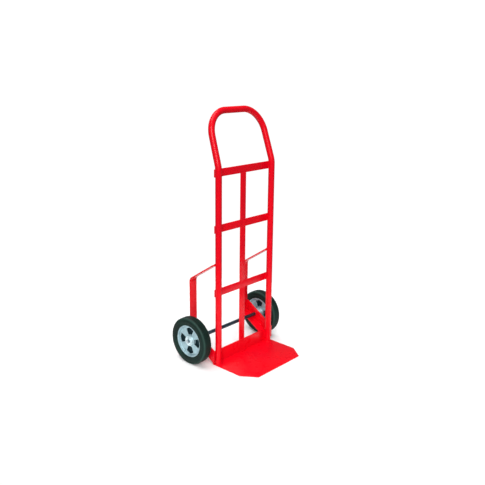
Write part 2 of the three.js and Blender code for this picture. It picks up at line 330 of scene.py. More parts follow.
def make_red_enamel():
    material, tree, shader = new_finish("red_enamel")
    place = object_place(tree)
    clouds = ramp(tree, noise(tree, place, 7.0), 0.35, 0.70)
    speckle = noise(tree, place, 310.0, 5.0)
    edge = edge_mask(tree, 0.0014)
    rubbed_and_edge_shade = arithmetic(tree, "MULTIPLY", edge, ramp(tree, speckle, 0.20, 0.50))
    chips = arithmetic(tree, "MULTIPLY", edge, ramp(tree, speckle, 0.66, 0.70))
    shade = blend_colour(tree, arithmetic(tree, "MULTIPLY", clouds, 0.35), ENAMEL, ENAMEL_THIN)
    # Darker red along the edges: partly rubbed paint, partly painted shade.
    shade = blend_colour(tree, rubbed_and_edge_shade, shade, ENAMEL_RUBBED_AND_EDGE_SHADE)
    put(tree, shader.inputs["Base Color"], blend_colour(tree, chips, shade, PRIMER))
    dull = ramp(tree, noise(tree, place, 26.0, 4.0), 0.3, 0.7, 0.24, 0.36)
    worn = arithmetic(tree, "MULTIPLY", rubbed_and_edge_shade, 0.5)
    put(tree, shader.inputs["Roughness"], arithmetic(tree, "MAXIMUM", dull, worn))
    put(tree, shader.inputs["Normal"], bump(tree, noise(tree, place, 430.0, 2.0), 0.10, 0.0004))
    shader.inputs["Specular IOR Level"].default_value = 0.16
    shader.inputs["Coat Weight"].default_value = 0.12
    shader.inputs["Coat Roughness"].default_value = 0.10
    return material


red_enamel = make_red_enamel()
print("made finish", red_enamel.name)

# %% [markdown]
# The tyres are moulded black rubber with a faint green cast. The tread and sidewall pick up floor dust, which
# lies in soft patches, and the edges are scuffed paler. A paler band round the shoulder is a painted
# highlight. The band is found from two lengths that the hubs use as well: how far out from the wheel's middle
# plane a point lies, and how far from the axle line.

# %% Tyre rubber
RUBBER = (0.002, 0.012, 0.009, 1)
RUBBER_DUSTY = (0.005, 0.026, 0.019, 1)
RUBBER_SCUFFED_AND_HIGHLIGHT = (0.030, 0.072, 0.058, 1)
SHOULDER_SIDE = (0.0130, 0.0180)
SHOULDER_RADIUS = (0.0930, 0.0975)


def wheel_place(tree, place):
    """How far out from the wheel's middle plane, and how far from the axle line."""
    parts = add_node(tree, "SeparateXYZ", Vector=place).outputs
    out = arithmetic(tree, "SUBTRACT", arithmetic(tree, "ABSOLUTE", parts["X"]), WHEEL_X)
    y = arithmetic(tree, "SUBTRACT", parts["Y"], AXLE_Y)
    z = arithmetic(tree, "SUBTRACT", parts["Z"], AXLE_Z)
    squares = arithmetic(tree, "ADD", arithmetic(tree, "MULTIPLY", y, y), arithmetic(tree, "MULTIPLY", z, z))
    return out, arithmetic(tree, "SQRT", squares)


def make_tyre_rubber():
    material, tree, shader = new_finish("moulded_rubber")
    place = object_place(tree)
    dust = ramp(tree, noise(tree, place, 22.0, 5.0), 0.42, 0.72)
    scuffs = arithmetic(tree, "MULTIPLY", edge_mask(tree, 0.0008), noise(tree, place, 160.0, 4.0))
    out, distance = wheel_place(tree, place)
    off_middle = ramp(tree, arithmetic(tree, "ABSOLUTE", out), *SHOULDER_SIDE)
    shoulder_highlight = arithmetic(tree, "MULTIPLY", off_middle, ramp(tree, distance, *SHOULDER_RADIUS))
    shade = blend_colour(tree, dust, RUBBER, RUBBER_DUSTY)
    # Paler band round the shoulder: painted highlight.
    shade = blend_colour(tree, arithmetic(tree, "MULTIPLY", shoulder_highlight, 0.6), shade, RUBBER_SCUFFED_AND_HIGHLIGHT)
    put(tree, shader.inputs["Base Color"], blend_colour(tree, scuffs, shade, RUBBER_SCUFFED_AND_HIGHLIGHT))
    put(tree, shader.inputs["Roughness"], ramp(tree, dust, 0.0, 1.0, 0.52, 0.72))
    put(tree, shader.inputs["Normal"], bump(tree, noise(tree, place, 900.0, 3.0), 0.25, 0.0003))
    shader.inputs["Specular IOR Level"].default_value = 0.18
    return material


tyre_rubber = make_tyre_rubber()
print("made finish", tyre_rubber.name)

# %% [markdown]
# The hubs are cast in aluminium and then turned on a lathe where the bearings and the rim sit. A casting is
# slightly grainy from the mould. Turning leaves fine rings, so the second bump is a sine of the distance from
# the axle line. The pockets aren't turned. They are painted dark as shade and made rougher, found from how
# deep a point lies below the web's face.

# %% Cast aluminium
ALUMINIUM = (0.38, 0.54, 0.59, 1)
ALUMINIUM_STAINED = (0.17, 0.28, 0.33, 1)
ALUMINIUM_BRIGHT = (0.72, 0.88, 0.92, 1)
ALUMINIUM_POCKET_SHADE = (0.003, 0.022, 0.030, 1)
TURNING_PITCH = 0.0011
WEB_FACE_OUT = 0.009
WEB_FACE_IN = -0.010
POCKET_BAND = (0.026, 0.061)


def pocket_shade_mask(tree, out, distance):
    """Painted shade mask: 1 well inside a pocket, 0 on the web's faces and beyond them."""
    below_face = ramp(tree, out, WEB_FACE_OUT - 0.0006, WEB_FACE_OUT - 0.0040)
    above_back = ramp(tree, out, WEB_FACE_IN + 0.0006, WEB_FACE_IN + 0.0040)
    outside_boss = arithmetic(tree, "GREATER_THAN", distance, POCKET_BAND[0])
    inside_rim = arithmetic(tree, "LESS_THAN", distance, POCKET_BAND[1])
    deep = arithmetic(tree, "MULTIPLY", below_face, above_back)
    return arithmetic(tree, "MULTIPLY", deep, arithmetic(tree, "MULTIPLY", outside_boss, inside_rim))


def make_cast_aluminium():
    material, tree, shader = new_finish("cast_aluminium")
    place = object_place(tree)
    stains = ramp(tree, noise(tree, place, 38.0, 5.0), 0.40, 0.75)
    shade = blend_colour(tree, arithmetic(tree, "MULTIPLY", stains, 0.6), ALUMINIUM, ALUMINIUM_STAINED)
    shade = blend_colour(tree, edge_mask(tree, 0.0012), shade, ALUMINIUM_BRIGHT)
    out, distance = wheel_place(tree, place)
    shade = blend_colour(tree, ramp(tree, distance, 0.0225, 0.0205), shade, ALUMINIUM_BRIGHT)
    pocket_shade = pocket_shade_mask(tree, out, distance)
    # Dark colour in the pockets is painted shade.
    put(tree, shader.inputs["Base Color"], blend_colour(tree, pocket_shade, shade, ALUMINIUM_POCKET_SHADE))
    satin = ramp(tree, noise(tree, place, 120.0), 0.3, 0.7, 0.34, 0.50)
    rough_pockets = arithmetic(tree, "MULTIPLY", pocket_shade, 0.7)
    put(tree, shader.inputs["Roughness"], arithmetic(tree, "MAXIMUM", satin, rough_pockets))
    rings = arithmetic(tree, "MULTIPLY", distance, 2 * math.pi / TURNING_PITCH)
    lathe = arithmetic(tree, "MULTIPLY", arithmetic(tree, "SINE", rings), 0.25)
    grain = arithmetic(tree, "ADD", lathe, noise(tree, place, 650.0, 3.0))
    put(tree, shader.inputs["Normal"], bump(tree, grain, 0.30, 0.00025))
    shader.inputs["Metallic"].default_value = 0.6
    return material


cast_aluminium = make_cast_aluminium()
print("made finish", cast_aluminium.name)

# %% [markdown]
# The axle is cold-drawn bar. Drawing it through a die leaves long hair lines along its length, so
# the noise is stretched along X by shrinking that coordinate. A thin film of oil makes it dark and
# blue, and only its sawn ends are bright. The small parts are zinc plated, which is brighter and
# slightly cloudy.

# %% Bar steel and zinc plate
STEEL = (0.080, 0.160, 0.205, 1)
STEEL_OILED = (0.038, 0.085, 0.118, 1)
STEEL_BRIGHT = (0.42, 0.50, 0.54, 1)
ZINC = (0.72, 0.86, 0.90, 1)
ZINC_CLOUDED = (0.56, 0.72, 0.76, 1)
ZINC_BRIGHT = (0.85, 0.89, 0.91, 1)
SAWN_END = (0.246, 0.2466)


def make_metal(name, plain, clouded, bright, stretch, roughness, metallic):
    material, tree, shader = new_finish(name)
    place = object_place(tree)
    drawn = add_node(tree, "Mapping", Vector=place, Scale=stretch).outputs["Vector"]
    clouds = ramp(tree, noise(tree, place, 45.0, 4.0), 0.38, 0.68)
    shade = blend_colour(tree, clouds, plain, clouded)
    sideways = arithmetic(tree, "ABSOLUTE", add_node(tree, "SeparateXYZ", Vector=place).outputs["X"])
    shade = blend_colour(tree, ramp(tree, sideways, *SAWN_END), shade, bright)
    put(tree, shader.inputs["Base Color"], blend_colour(tree, edge_mask(tree, 0.0006), shade, bright))
    low, high = roughness
    put(tree, shader.inputs["Roughness"], ramp(tree, noise(tree, drawn, 300.0), 0.3, 0.7, low, high))
    put(tree, shader.inputs["Normal"], bump(tree, noise(tree, drawn, 900.0, 2.0), 0.18, 0.0002))
    shader.inputs["Metallic"].default_value = metallic
    return material


axle_steel = make_metal("drawn_steel", STEEL, STEEL_OILED, STEEL_BRIGHT, (0.04, 1, 1), (0.28, 0.42), 0.9)
zinc_plate = make_metal("zinc_plate", ZINC, ZINC_CLOUDED, ZINC_BRIGHT, (1, 1, 1), (0.24, 0.38), 0.6)
print("made finishes", axle_steel.name, zinc_plate.name)

# %% [markdown]
# Every finished piece goes through the same last steps: its place goes into its mesh, broad
# surfaces are shaded smooth while real corners stay crisp, it gets its finish, and it is told which
# body of the frame it rides on and which plain nodes it stands for.

# %% Finishing a piece
SMOOTH_BELOW = math.radians(32)


def settle(obj, body, slot, finish, *nodes):
    only(obj)
    bpy.ops.object.transform_apply(location=True, rotation=True, scale=True)
    bpy.ops.object.shade_smooth_by_angle(angle=SMOOTH_BELOW)
    obj.data.materials.clear()
    obj.data.materials.append(finish)
    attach(obj, body)
    if nodes:
        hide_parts(*nodes)
    print(f"{obj.name}: {len(obj.data.polygons)} faces on {body}")


def soften(obj, width, segments=3, angle=math.radians(35)):
    modifier(obj, "BEVEL", width=width, segments=segments, limit_method="ANGLE", angle_limit=angle)


def mirrored(obj, name):
    """A copy on the other side of the truck, with a mesh of its own."""
    only(obj)
    bpy.ops.object.duplicate(linked=False)
    copy = bpy.context.object
    copy.name = name
    copy.scale = (-1, 1, 1)
    bpy.ops.object.transform_apply(location=True, rotation=True, scale=True)
    face_outward(copy)
    return copy


print("finishing steps ready")

# %% [markdown]
# The frame is one length of three-quarter inch pipe, bent four times on a former. Half of it is
# modelled the way the bender works: a circle at the foot is pushed up the rail, swung round the
# first bend, pushed along the handle, swung round the top corner and pushed to the middle. A mirror
# makes the other half and a solidify gives the wall. A curve with a round bevel would be quicker,
# but pushing and swinging gives true circular bends.

# %% Bent pipe frame
pipe_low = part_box("frame_tube")[0]
PIPE_RADIUS = 0.01335
PIPE_WALL = 0.0029
PIPE_SIDES = 40
BEND_RADIUS = 0.1016
BEND_HEIGHT = 0.834
HANDLE_LEAN = math.radians(18)
HANDLE_LENGTH = 0.225
HANDLE_CORNER_X = 0.153
BEND_STEP = math.radians(3)
RAIL_X = 0.161


def bend_pipe(position, arriving, leaving):
    """Swing the open end round one bend of the former."""
    turn = arriving.angle(leaving)
    inward = (leaving - arriving * arriving.dot(leaving)).normalized()
    centre = position + inward * BEND_RADIUS
    axis = arriving.cross(leaving).normalized()
    steps = max(3, round(turn / BEND_STEP))
    bpy.ops.mesh.spin(steps=steps, angle=-turn, center=centre, axis=axis)


def make_frame_pipe():
    foot = Vector((RAIL_X, 0, pipe_low.z))
    handle_y = HANDLE_LENGTH * math.sin(HANDLE_LEAN)
    handle_z = BEND_HEIGHT + HANDLE_LENGTH * math.cos(HANDLE_LEAN)
    turns = [Vector((RAIL_X, 0, BEND_HEIGHT)), Vector((HANDLE_CORNER_X, handle_y, handle_z))]
    middle = Vector((0, handle_y, handle_z))
    deselect()
    bpy.ops.mesh.primitive_circle_add(vertices=PIPE_SIDES, radius=PIPE_RADIUS, location=foot)
    pipe = bpy.context.object
    pipe.name = "frame_pipe"
    bpy.ops.object.transform_apply(location=True, rotation=True, scale=True)
    edit(pipe, "EDGE")
    position = foot
    for corner, after in zip(turns, turns[1:] + [middle]):
        arriving = (corner - position).normalized()
        leaving = (after - corner).normalized()
        trim = BEND_RADIUS * math.tan(arriving.angle(leaving) / 2)
        start = corner - arriving * trim
        bpy.ops.mesh.extrude_region_move(TRANSFORM_OT_translate={"value": start - position})
        bend_pipe(start, arriving, leaving)
        position = corner + leaving * trim
    bpy.ops.mesh.extrude_region_move(TRANSFORM_OT_translate={"value": middle - position})
    modifier(pipe, "MIRROR", use_axis=(True, False, False), merge_threshold=1e-5)
    face_outward(pipe)
    modifier(pipe, "SOLIDIFY", thickness=PIPE_WALL, offset=-1)
    return pipe


frame_pipe = make_frame_pipe()
settle(frame_pipe, "root", "red_paint", red_enamel, "frame_tube")

# %% [markdown]
# Crossbars and centre straps are lengths of flat bar. Hot-rolled bar never has a knife edge: its
# corners are slightly round. A box of the right size gets that rounding from a bevel, which also
# gives the thin line of light along every edge that makes metal look like metal.

# %% Flat bars
BAR_EDGE = 0.0009
bars = {
    "top_bar": "crossbar_top",
    "middle_bar": "crossbar_middle",
    "lower_bar": "crossbar_lower",
    "upper_strap": "center_strap_upper",
    "middle_strap": "center_strap_middle",
    "lower_strap": "center_strap_lower",
}
for bar_name, node_name in bars.items():
    bar = box(bar_name, *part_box(node_name))
    soften(bar, BAR_EDGE)
    settle(bar, "root", "red_paint", red_enamel, node_name)

# %% [markdown]
# The toe plate is one sheet, folded up behind the rails. Drawing its side outline with the two
# radii of the fold and pushing it across the truck gives the fold exactly. The front corners are
# then cut off with two bisecting planes, as a shear does it, and the cut faces are filled.

# %% Toe plate
toe_low, toe_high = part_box("toe_plate")
PLATE = 0.0048
FOLD_OUTSIDE = 6.0
FOLD_INSIDE = 1.2
CHAMFER_X = 0.045
CHAMFER_Y = 0.063
TOE_EDGE = 0.0008


def make_toe_plate():
    front, back, top = toe_low.y * 1000, toe_high.y * 1000, toe_high.z * 1000
    thick = PLATE * 1000
    corners = [
        (front, 0, 0),
        (back, 0, FOLD_OUTSIDE),
        (back, top, 0),
        (back - thick, top, 0),
        (back - thick, thick, FOLD_INSIDE),
        (front, thick, 0),
    ]
    outline = [Vector((toe_low.x, y / 1000, z / 1000)) for y, z in rounded(corners)]
    plate = slab("folded_toe_plate", outline, (toe_high.x - toe_low.x, 0, 0))
    for side in (-1, 1):
        on_cut = Vector((side * toe_high.x, toe_low.y + CHAMFER_Y, 0))
        cut_normal = Vector((side * CHAMFER_Y, -CHAMFER_X, 0)).normalized()
        edit(plate)
        bpy.ops.mesh.bisect(plane_co=on_cut, plane_no=cut_normal, clear_outer=True, use_fill=True)
    face_outward(plate)
    soften(plate, TOE_EDGE)
    return plate


toe_plate = make_toe_plate()
settle(toe_plate, "root", "red_paint", red_enamel, "toe_plate")

# %% [markdown]
# Each wheel guard is a flat strap bent at two places. The strap's middle line is drawn from the
# side, pushed to its width, and its two folds are bevelled to the bending radius. Solidify gives it
# the thickness of the bar. Its ends are drawn too long on purpose and trimmed upright with a plane,
# where they meet the rail and the toe plate.

# %% Wheel guards
guard_low, guard_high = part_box("right_wheel_guard")
ARM_SLOPE = math.tan(math.radians(33))
FOOT_SLOPE = math.tan(math.radians(32))
GUARD_BEND = 0.0224
GUARD_EDGE = 0.0008
END_SPARE = 0.02
WELD_GAP = 0.0003


def make_guard():
    upright_y = guard_high.y - PLATE / 2
    arm_at_rail = guard_high.z - PLATE / 2 * math.hypot(1, ARM_SLOPE)
    foot_z = guard_low.z + PLATE / 2 * math.hypot(1, FOOT_SLOPE)
    rail_y = guard_low.y
    toe_y = toe_high.y + WELD_GAP

    def arm(y):
        return arm_at_rail - ARM_SLOPE * (y - rail_y)

    def foot(y):
        return foot_z + FOOT_SLOPE * (y - toe_y)

    line = [(rail_y - END_SPARE, arm), (upright_y, arm), (upright_y, foot), (toe_y - END_SPARE, foot)]
    guard = draw_line("right_guard_strap", [Vector((guard_low.x, y, height(y))) for y, height in line])
    bpy.ops.mesh.select_all(action="SELECT")
    width = guard_high.x - guard_low.x
    bpy.ops.mesh.extrude_region_move(TRANSFORM_OT_translate={"value": (width, 0, 0)})
    edit(guard, "EDGE", "DESELECT")
    pick_edges(guard, lambda middle, way: abs(way.x) > 0.9 and middle.y > upright_y - 0.001)
    fold_turn = math.pi / 2 - math.atan(FOOT_SLOPE)
    bpy.ops.mesh.bevel(offset=GUARD_BEND * math.tan(fold_turn / 2), segments=10, affect="EDGES")
    modifier(guard, "SOLIDIFY", thickness=PLATE, offset=0, use_even_offset=True)
    middle_z = (guard_low.z + guard_high.z) / 2
    for end_y, above in ((rail_y, True), (toe_y, False)):
        edit(guard, "EDGE", "DESELECT")
        mesh = bmesh.from_edit_mesh(guard.data)
        for face in mesh.faces:
            face.select_set((face.calc_center_median().z > middle_z) == above)
        bmesh.update_edit_mesh(guard.data)
        bpy.ops.mesh.bisect(plane_co=(0, end_y, 0), plane_no=(0, -1, 0), clear_outer=True, use_fill=True)
    face_outward(guard)
    soften(guard, GUARD_EDGE)
    return guard


right_guard = make_guard()
left_guard = mirrored(right_guard, "left_guard_strap")
settle(right_guard, "root", "red_paint", red_enamel, "right_wheel_guard")
settle(left_guard, "root", "red_paint", red_enamel, "left_wheel_guard")

# %% [markdown]
# An axle bracket is a short flat bar set on edge along the guard's foot, with a drilled hole for
# the axle. Its sloping outline is filled and pushed to its thickness. The hole is a boolean cut,
# because a drill makes a clean round hole whatever the faces around it look like.

# %% Axle brackets
bracket_low, bracket_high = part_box("right_axle_plate")
BRACKET_HEIGHT = 50.8
BRACKET_CORNER = 6.0
HOLE_CLEARANCE = 0.0003
DRILL_DEPTH = 0.03


def cut_with(obj, cutter):
    modifier(obj, "BOOLEAN", operation="DIFFERENCE", object=cutter, solver="EXACT")
    bpy.data.objects.remove(cutter)


def round_cutter(place, radius, depth, turn, sides=48):
    deselect()
    bpy.ops.mesh.primitive_cylinder_add(
        vertices=sides, radius=radius, depth=depth, location=place, rotation=turn
    )
    return bpy.context.object


def make_bracket():
    front, back = bracket_low.y * 1000, bracket_high.y * 1000
    rise = BRACKET_HEIGHT * math.hypot(1, FOOT_SLOPE)
    climb = FOOT_SLOPE * (back - front)
    bottom = bracket_high.z * 1000 - rise - climb
    corners = [
        (front, bottom, BRACKET_CORNER),
        (back, bottom + climb, BRACKET_CORNER),
        (back, bottom + climb + rise, BRACKET_CORNER),
        (front, bottom + rise, BRACKET_CORNER),
    ]
    outline = [Vector((bracket_low.x, y / 1000, z / 1000)) for y, z in rounded(corners)]
    bracket = slab("right_axle_bracket", outline, (bracket_high.x - bracket_low.x, 0, 0))
    centre = (bracket_high.x, AXLE_Y, AXLE_Z)
    hole = round_cutter(centre, AXLE_RADIUS + HOLE_CLEARANCE, DRILL_DEPTH, (0, math.pi / 2, 0))
    cut_with(bracket, hole)
    soften(bracket, GUARD_EDGE)
    return bracket


right_bracket = make_bracket()
left_bracket = mirrored(right_bracket, "left_axle_bracket")
settle(right_bracket, "root", "red_paint", red_enamel, "right_axle_plate")
settle(left_bracket, "root", "red_paint", red_enamel, "left_axle_plate")

# %% [markdown]
# The axle is one round bar. Its ends are chamfered so that the wheels slide on, and each end is
# cross-drilled for a cotter pin.

# %% Axle
COTTER_X = 0.2446
COTTER_HOLE = 0.0019
AXLE_CHAMFER = 0.0010


def make_axle():
    axle = round_cutter((0, AXLE_Y, AXLE_Z), AXLE_RADIUS, axle_high.x - axle_low.x, (0, math.pi / 2, 0), 64)
    axle.name = "axle_bar"
    bpy.ops.object.transform_apply(location=True, rotation=True, scale=True)
    soften(axle, AXLE_CHAMFER, segments=2, angle=math.radians(60))
    for side in (-1, 1):
        drill = round_cutter((side * COTTER_X, AXLE_Y, AXLE_Z), COTTER_HOLE, DRILL_DEPTH, (0, 0, 0), 20)
        cut_with(axle, drill)
    return axle


axle_bar = make_axle()
settle(axle_bar, "root", "axle_steel", axle_steel, "axle")

# %% [markdown]
# A tyre for a wheel of this size is a solid ring of rubber. Its section shows what the mould made:
# a bead that grips the rim, a groove beside the rim, a sidewall that swells, a raised ring, a round
# shoulder, and three shallow grooves round the tread. The half section is written once and
# reflected, so both sides of the tyre agree.

# %% Tyres
TYRE_HALF = [
    (16.8, 69.3, 0),
    (19.6, 69.8, 0.8),
    (21.2, 72.2, 0.6),
    (21.2, 74.0, 0.4),
    (20.4, 74.6, 0.3),
    (20.4, 75.8, 0.3),
    (21.4, 76.4, 0.4),
    (21.7, 82.8, 0.4),
    (22.2, 83.4, 0.3),
    (22.2, 84.8, 0.3),
    (21.7, 85.4, 0.4),
    (20.9, 101.1, 8.5),
    (10.6, 101.5, 0.5),
    (10.1, 100.2, 0.4),
    (8.3, 100.2, 0.4),
    (7.8, 101.6, 0.5),
    (1.4, 101.6, 0.5),
    (0.9, 100.3, 0.4),
]


def make_tyre():
    other_half = [(-out, radius, round_off) for out, radius, round_off in reversed(TYRE_HALF)]
    return spun("right_rubber_tyre", TYRE_HALF + other_half, steps=144)


right_tyre = make_tyre()
left_tyre = mirrored(right_tyre, "left_rubber_tyre")
settle(right_tyre, "right_wheel", "tyre_rubber", tyre_rubber, "right_tyre")
settle(left_tyre, "left_wheel", "tyre_rubber", tyre_rubber, "left_tyre")

# %% [markdown]
# The hub is a casting: a rim that carries the tyre, a web, and a thick boss bored for the
# bearings. Its section has a fillet wherever two walls meet, because molten metal doesn't fill
# sharp corners. Four fan-shaped pockets lighten each face of the web, and a thin floor is left
# between them. One outline makes every cutter, turned a quarter each time.

# %% Cast hubs
HUB_SECTION = [
    (-17.5, 69.0, 0.8),
    (-17.5, 64.4, 0.8),
    (-16.2, 63.6, 0.6),
    (-10.0, 62.0, 3.0),
    (-10.0, 21.5, 4.0),
    (-32.4, 20.0, 1.0),
    (-32.4, 17.5, 0.3),
    (-21.4, 17.5, 0),
    (-21.4, 12.0, 0),
    (6.0, 12.0, 0),
    (6.0, 17.5, 0),
    (17.0, 17.5, 0.3),
    (17.0, 20.4, 1.0),
    (9.0, 21.5, 3.0),
    (9.0, 61.0, 3.0),
    (15.2, 62.6, 0.8),
    (16.0, 65.0, 0.5),
    (17.5, 65.5, 0.5),
    (17.5, 69.0, 0.8),
]
POCKET_INNER = 27.0
POCKET_OUTER = 55.0
POCKET_HALF_ANGLE = math.radians(23)
POCKET_CORNER = 5.0
POCKET_COUNT = 4
POCKET_SPANS = ((1.0, 14.0), (-14.0, -2.0))
POCKET_EDGE = 0.0011


def pocket_cutter(turn, start, end):
    corners = [
        (POCKET_INNER, -POCKET_HALF_ANGLE),
        (POCKET_OUTER, -POCKET_HALF_ANGLE),
        (POCKET_OUTER / math.cos(POCKET_HALF_ANGLE), 0),
        (POCKET_OUTER, POCKET_HALF_ANGLE),
        (POCKET_INNER, POCKET_HALF_ANGLE),
    ]
    flat = [(r * math.cos(a + turn), r * math.sin(a + turn), POCKET_CORNER) for r, a in corners]
    out = WHEEL_X + start / 1000
    outline = [Vector((out, AXLE_Y + y / 1000, AXLE_Z + z / 1000)) for y, z in rounded(flat)]
    return slab("pocket_cutter", outline, ((end - start) / 1000, 0, 0))


def make_hub():
    hub = spun("right_cast_hub", HUB_SECTION, steps=120)
    for count in range(POCKET_COUNT):
        for start, end in POCKET_SPANS:
            cut_with(hub, pocket_cutter(2 * math.pi * count / POCKET_COUNT, start, end))
    return hub


def round_pocket_rims(hub):
    """Soften the rims and the floors' edges of the pockets, on both faces of the web."""
    edit(hub, "EDGE", "DESELECT")
    mesh = bmesh.from_edit_mesh(hub.data)
    for edge in mesh.edges:
        middle = (edge.verts[0].co + edge.verts[1].co) / 2
        radius = math.hypot(middle.y - AXLE_Y, middle.z - AXLE_Z) * 1000
        in_web = POCKET_INNER - 3 < radius < POCKET_OUTER / math.cos(POCKET_HALF_ANGLE)
        sharp = len(edge.link_faces) == 2 and edge.calc_face_angle(0) > math.radians(70)
        edge.select_set(in_web and sharp)
    bmesh.update_edit_mesh(hub.data)
    bpy.ops.mesh.bevel(offset=POCKET_EDGE, segments=3, affect="EDGES", clamp_overlap=True)
    deselect()


right_hub = make_hub()
round_pocket_rims(right_hub)
left_hub = mirrored(right_hub, "left_cast_hub")
settle(right_hub, "right_wheel", "hub_casting", cast_aluminium, "right_hub")
settle(left_hub, "left_wheel", "hub_casting", cast_aluminium, "left_hub")

# %% [markdown]
# A sealed ball bearing shows two hard rings with a thin shield pressed between them, slightly
# sunk. One spun section with two shallow steps on each face says all of that. The washers are
# stamped, so one rim is rounded by the punch.

# %% Bearings and washers
BORE = 8.24
BEARING_OUTER = 17.2
BEARING_WIDTH = 10.7
BOSS_INNER = -32.4
BOSS_OUTER = 17.0
WASHER_RADIUS = 17.0
WASHER = 2.0
WASHER_GAP = 0.3


def ring_section(start, end, outer, round_off):
    return [(start, BORE, 0.2), (start, outer, round_off), (end, outer, round_off), (end, BORE, 0.2)]


def bearing_section(start):
    end = start + BEARING_WIDTH
    inner_race, outer_race, sunk = BORE + 2.4, BEARING_OUTER - 2.2, 0.6
    near = [
        (start, BORE, 0.4), (start, inner_race, 0.2), (start + sunk, inner_race + 0.3, 0.1),
        (start + sunk, outer_race - 0.3, 0.1), (start, outer_race, 0.2), (start, BEARING_OUTER, 0.5),
    ]
    far = [(start + end - out, radius, round_off) for out, radius, round_off in reversed(near)]
    return near + far


inner_bracket_face = (bracket_high.x - WHEEL_X) * 1000 + WASHER_GAP
outer_washer_start = BOSS_OUTER + WASHER_GAP
ring_kinds = [
    ("inner_race_unit", "inner_bearing", "wheel", bearing_section(BOSS_INNER)),
    ("outer_race_unit", "outer_bearing", "wheel", bearing_section(BOSS_OUTER - BEARING_WIDTH)),
    ("inner_flat_washer", "inner_washer", "root",
     ring_section(inner_bracket_face, inner_bracket_face + WASHER, WASHER_RADIUS, 0.5)),
    ("outer_flat_washer", "outer_washer", "root",
     ring_section(outer_washer_start, outer_washer_start + WASHER, WASHER_RADIUS, 0.5)),
]
for piece_name, node_end, rides_on, section in ring_kinds:
    ring = spun("right_" + piece_name, section, steps=64)
    ring_pair = {"right": ring, "left": mirrored(ring, "left_" + piece_name)}
    for side_name, piece in ring_pair.items():
        body_name = side_name + "_wheel" if rides_on == "wheel" else "root"
        settle(piece, body_name, "zinc_steel", zinc_plate, side_name + "_" + node_end)

# %% [markdown]
# A cotter pin is one wire folded back on itself with an eye at the fold. Its legs go down through
# the axle side by side and are bent apart below. A curve with a round bevel follows such a small
# wire well, and it is turned into a mesh once its route is right.

# %% Cotter pins
WIRE = 0.00078
EYE_RADIUS = 0.0026
EYE_STEPS = 16
LEG_SPLAY = 0.0030
LEG_DROP = 0.0052
LEG_CLEAR = 0.0006
LEG_TURN = (0.0008, 0.0016)
cotter_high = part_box("right_cotter_pin")[1]


def cotter_route():
    eye_centre = cotter_high.z - EYE_RADIUS - WIRE
    first = math.asin(WIRE / EYE_RADIUS)
    eye = []
    for k in range(EYE_STEPS + 1):
        a = -math.pi / 2 + first + (2 * math.pi - 2 * first) * k / EYE_STEPS
        eye.append((EYE_RADIUS * math.cos(a), eye_centre + EYE_RADIUS * math.sin(a)))
    below = AXLE_Z - AXLE_RADIUS - LEG_CLEAR
    tip = (WIRE + LEG_SPLAY, below - LEG_DROP)
    leg = [tip, (WIRE + LEG_TURN[0], below - LEG_TURN[1]), (WIRE, below), (WIRE, AXLE_Z)]
    other = [(-y, z) for y, z in reversed(leg)]
    return [Vector((COTTER_X, AXLE_Y + y, z)) for y, z in leg + eye + other]


def make_cotter():
    route = cotter_route()
    deselect()
    bpy.ops.curve.primitive_bezier_curve_add()
    pin = bpy.context.object
    pin.name = "right_split_pin"
    pin.data.splines.clear()
    spline = pin.data.splines.new("POLY")
    spline.points.add(len(route) - 1)
    for point, place in zip(spline.points, route):
        point.co = (*place, 1)
    pin.data.dimensions = "3D"
    pin.data.bevel_depth = WIRE
    pin.data.bevel_resolution = 3
    pin.data.use_fill_caps = True
    bpy.ops.object.convert(target="MESH")
    face_outward(pin)
    return pin


right_pin = make_cotter()
left_pin = mirrored(right_pin, "left_split_pin")
settle(right_pin, "root", "zinc_steel", zinc_plate, "right_cotter_pin")
settle(left_pin, "root", "zinc_steel", zinc_plate, "left_cotter_pin")

# %% [markdown]
# The bearing spacers sit inside the boss, where only a gap shows them. Their shape is right as it
# is, so the frame's own nodes stay and are given the bar steel.

# %% Bearing spacers
for side_name in ("left", "right"):
    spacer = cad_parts[side_name + "_bearing_spacer"]
    spacer.data.materials.clear()
    spacer.data.materials.append(axle_steel)
    print("kept", spacer.name)

# %% [markdown]
# A weld is a row of overlapping drops of metal that froze one after another. So it is built from
# drops: one small ball, repeated along a straight run by an array or round a pipe by a spin, and
# all the drops of one kind of joint fused into a single skin by a voxel remesh. The enamel covers
# the welds too, because the truck is painted after welding.

# %% Weld helpers
DROP = 0.0021
DROP_PITCH = 0.0017
WELD_VOXEL = 0.0005
BEAD_LIFT = 0.0004
BEAD_INSET = 0.0006
BEAD_REACH = 0.0008


def first_drop(place, size):
    deselect()
    bpy.ops.mesh.primitive_ico_sphere_add(subdivisions=2, radius=size, location=place)
    bpy.ops.object.transform_apply(location=True, rotation=True, scale=True)
    return bpy.context.object


def weld_run(start, end, size=DROP):
    start, end = Vector(start), Vector(end)
    drop = first_drop(start, size)
    count = max(2, round((end - start).length / DROP_PITCH))
    step = (end - start) / (count - 1)
    modifier(
        drop, "ARRAY", count=count, use_relative_offset=False,
        use_constant_offset=True, constant_offset_displace=step,
    )
    return drop


def weld_ring(centre, radius, axis, across):
    centre = Vector(centre)
    drop = first_drop(centre + Vector(across) * radius, DROP)
    count = round(2 * math.pi * radius / DROP_PITCH)
    edit(drop)
    bpy.ops.mesh.spin(steps=count, dupli=True, angle=2 * math.pi, center=centre, axis=axis)
    deselect()
    return drop


def fuse(name, runs):
    only(runs[0])
    for run in runs[1:]:
        run.select_set(True)
    if len(runs) > 1:
        bpy.ops.object.join()
    weld = bpy.context.object
    weld.name = name
    modifier(weld, "MIRROR", use_axis=(True, False, False), use_mirror_merge=False)
    modifier(weld, "REMESH", mode="VOXEL", voxel_size=WELD_VOXEL)
    modifier(weld, "SMOOTH", factor=0.5, iterations=2)
    settle(weld, "root", "red_paint", red_enamel)


print("weld helpers ready")

